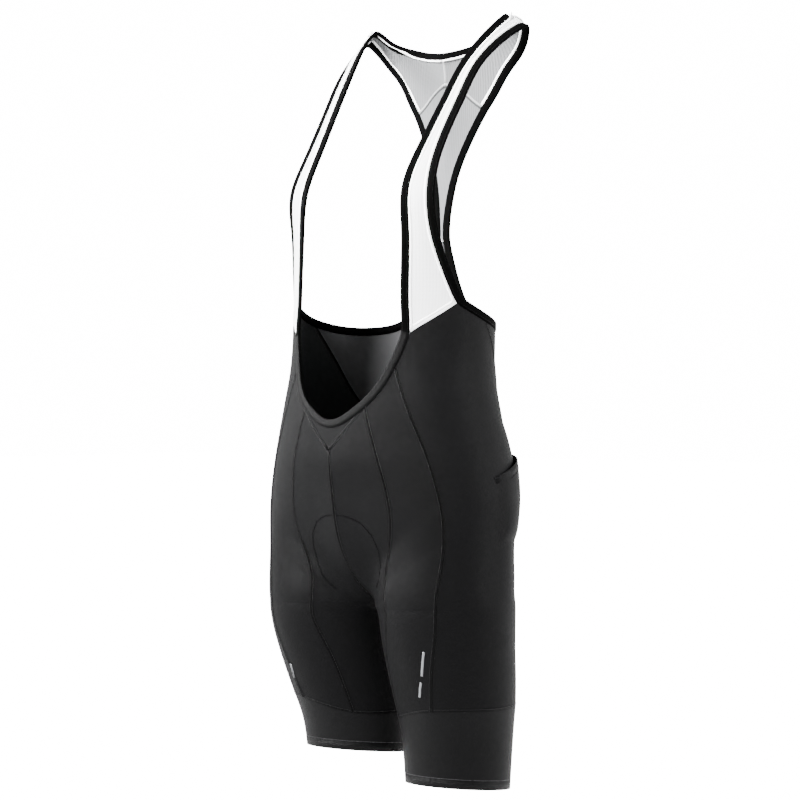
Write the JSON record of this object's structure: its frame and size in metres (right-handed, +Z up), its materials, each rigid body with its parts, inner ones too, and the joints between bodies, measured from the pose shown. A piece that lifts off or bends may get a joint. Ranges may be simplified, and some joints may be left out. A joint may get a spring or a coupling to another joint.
{
  "type": "cycling bib shorts",
  "caption": "Black cycling bib shorts with white mesh shoulder straps, a narrow mesh back, bound edges, wide leg cuffs and a sewn-in seat pad, shown as worn with no wearer.",
  "frame": {"origin": "midway between the tops of the two shoulder straps, where the wearer's shoulders carry them", "axes": "+X towards the wearer's left, -Y out of the front, +Z up; lengths in metres"},
  "size_m": [0.3308, 0.2252, 0.8891],
  "materials": {
    "lycra": "matt knitted stretch fabric with a slight sheen",
    "cuff": "smooth compressive knit",
    "mesh": "matt ribbed micro-mesh",
    "tape": "flat elastic binding",
    "pad": "brushed padded knit"
  },
  "bodies": {
    "root": {"front_insert": "lycra", "front_centre_left": "lycra", "front_centre_right": "lycra", "front_side_left": "lycra", "front_side_right": "lycra", "side_back_left": "lycra", "side_back_right": "lycra", "back_centre": "lycra", "back_pocket": "lycra", "leg_cuff_left": "cuff", "leg_cuff_right": "cuff", "front_strap_left": "mesh", "front_strap_right": "mesh", "back_yoke_left": "mesh", "back_yoke_right": "mesh", "back_column": "mesh", "neck_binding": "tape", "arm_binding_left": "tape", "arm_binding_right": "tape", "seat_pad": "pad"}
  },
  "joints": []
}
